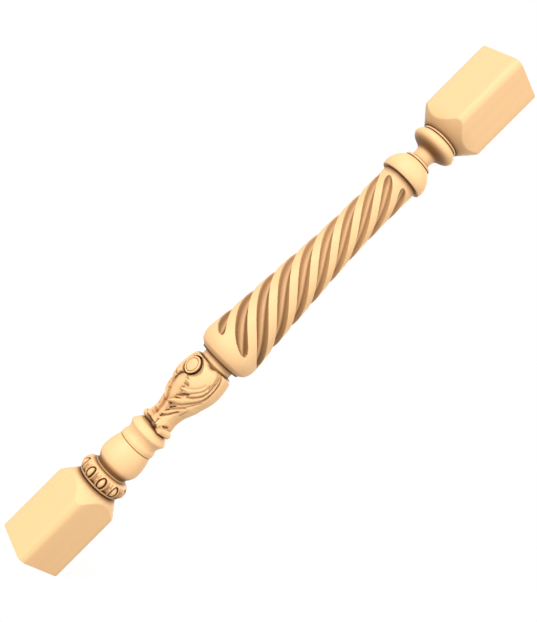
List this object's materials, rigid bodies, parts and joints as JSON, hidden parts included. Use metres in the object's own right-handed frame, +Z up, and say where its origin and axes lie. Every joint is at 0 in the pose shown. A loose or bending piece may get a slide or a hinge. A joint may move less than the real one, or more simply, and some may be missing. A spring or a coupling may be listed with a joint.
{
  "type": "stair baluster",
  "caption": "Turned and carved wooden stair baluster with square foot and head blocks, a spiral-fluted tapering shaft, a leaf-carved bulb with scroll buttons and a ring of eggs.",
  "frame": {"origin": "middle of the foot block's underside", "axes": "+Z up along the turning axis, X and Y square to the block faces, scroll buttons facing -Y and +Y"},
  "size_m": [0.085, 0.085, 0.9],
  "materials": {
    "wood": "satin, fine sanded"
  },
  "bodies": {
    "root": {"baluster": "wood"}
  },
  "joints": []
}
